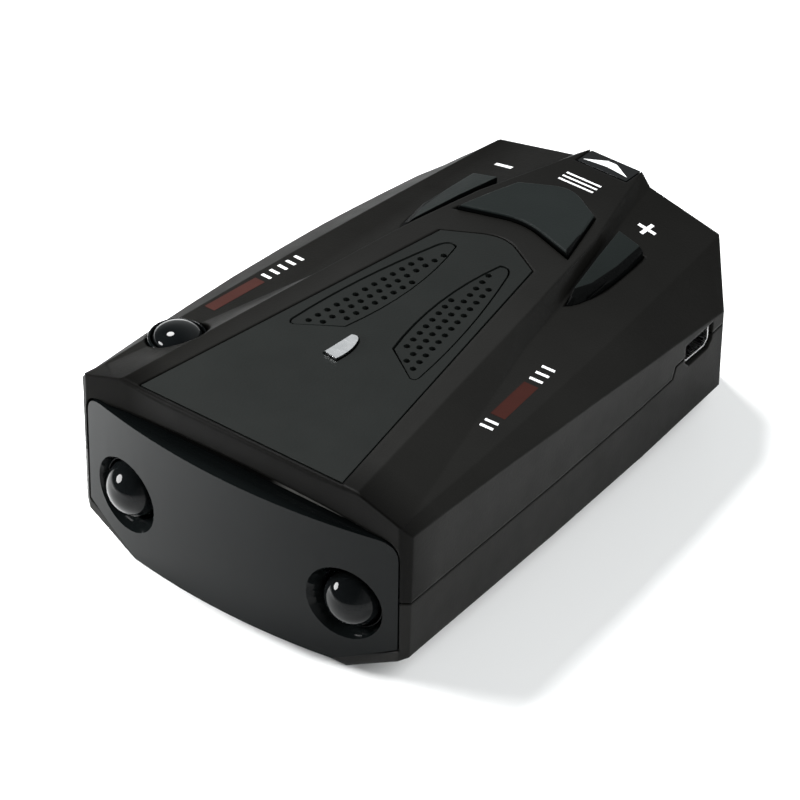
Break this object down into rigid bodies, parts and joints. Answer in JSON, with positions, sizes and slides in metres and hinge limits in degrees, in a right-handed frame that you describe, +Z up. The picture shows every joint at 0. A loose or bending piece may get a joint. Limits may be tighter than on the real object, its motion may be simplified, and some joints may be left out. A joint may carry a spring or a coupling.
{
  "type": "radar detector",
  "caption": "Dashboard radar detector: flat wedge case with a bulged dark front window, domed laser lenses, a perforated speaker plate and push buttons on top.",
  "frame": {"origin": "middle of the length and width, on the surface the rubber feet stand on", "axes": "+Z up, +Y towards the driver (display end), -Y towards the road (window end), +X the side with the power inlet"},
  "size_m": [0.062, 0.099, 0.0343],
  "materials": {
    "case_plastic": "fine-textured matte, charcoal",
    "plate_plastic": "fine-textured matte, charcoal",
    "key_plastic": "satin, charcoal",
    "window_plastic": "polished, near black, lets infrared through",
    "lens_plastic": "polished, smoked",
    "display_glass": "polished, smoked",
    "rubber": "matte black",
    "plated_steel": "tin plated",
    "screw_steel": "zinc plated",
    "badge_metal": "satin chrome",
    "board": "green solder mask over glass fibre",
    "cast_alloy": "as cast, bead blasted",
    "white_plastic": "milky, diffusing",
    "black_plastic": "matte black",
    "cone_paper": "pressed paper",
    "label": "satin silver-grey, blank"
  },
  "bodies": {
    "case": {"top_cover": "case_plastic", "bottom_cover": "case_plastic", "front_window": "window_plastic", "front_lens_left": "lens_plastic", "front_lens_right": "lens_plastic", "top_lens": "lens_plastic", "top_lens_ring": "window_plastic", "speaker_plate": "plate_plastic", "grille_left": "plate_plastic", "grille_right": "plate_plastic", "badge": "badge_metal", "menu_switch": "black_plastic", "up_switch": "black_plastic", "down_switch": "black_plastic", "arrow_light_guide": "lens_plastic", "brow_trim": "window_plastic", "display_window": "display_glass", "display_module": "black_plastic", "power_socket": "plated_steel", "power_socket_tongue": "black_plastic", "main_board": "board", "key_board": "board", "horn_antenna": "cast_alloy", "mixer_can": "plated_steel", "speaker_basket": "black_plastic", "speaker_magnet": "plated_steel", "processor": "black_plastic", "laser_sensor_left": "black_plastic", "laser_sensor_right": "black_plastic", "board_spacer_left": "white_plastic", "board_spacer_right": "white_plastic", "capacitor_left": "black_plastic", "capacitor_right": "black_plastic", "board_connector_left": "white_plastic", "board_connector_right": "white_plastic", "top_sensor": "black_plastic", "rating_plate": "label", "foot_1": "rubber", "case_screw_1": "screw_steel", "foot_2": "rubber", "case_screw_2": "screw_steel", "foot_3": "rubber", "case_screw_3": "screw_steel", "foot_4": "rubber", "case_screw_4": "screw_steel"},
    "menu_key": {"menu_button": "key_plastic", "menu_plunger": "white_plastic"},
    "up_key": {"up_button": "key_plastic", "up_plunger": "white_plastic"},
    "down_key": {"down_button": "key_plastic", "down_plunger": "white_plastic"},
    "cone": {"speaker_cone": "cone_paper"}
  },
  "joints": [
    {"name": "menu_press", "type": "slide", "parent": "case", "child": "menu_key", "axis": [0, 0, -1], "range_m": [0, 0.0004], "stiffness_N_per_m": 1500},
    {"name": "up_press", "type": "slide", "parent": "case", "child": "up_key", "axis": [0, 0, -1], "range_m": [0, 0.0004], "stiffness_N_per_m": 1500},
    {"name": "down_press", "type": "slide", "parent": "case", "child": "down_key", "axis": [0, 0, -1], "range_m": [0, 0.0004], "stiffness_N_per_m": 1500},
    {"name": "cone_throw", "type": "slide", "parent": "case", "child": "cone", "axis": [0, 0, 1], "range_m": [-0.0003, 0.0003], "stiffness_N_per_m": 900}
  ]
}
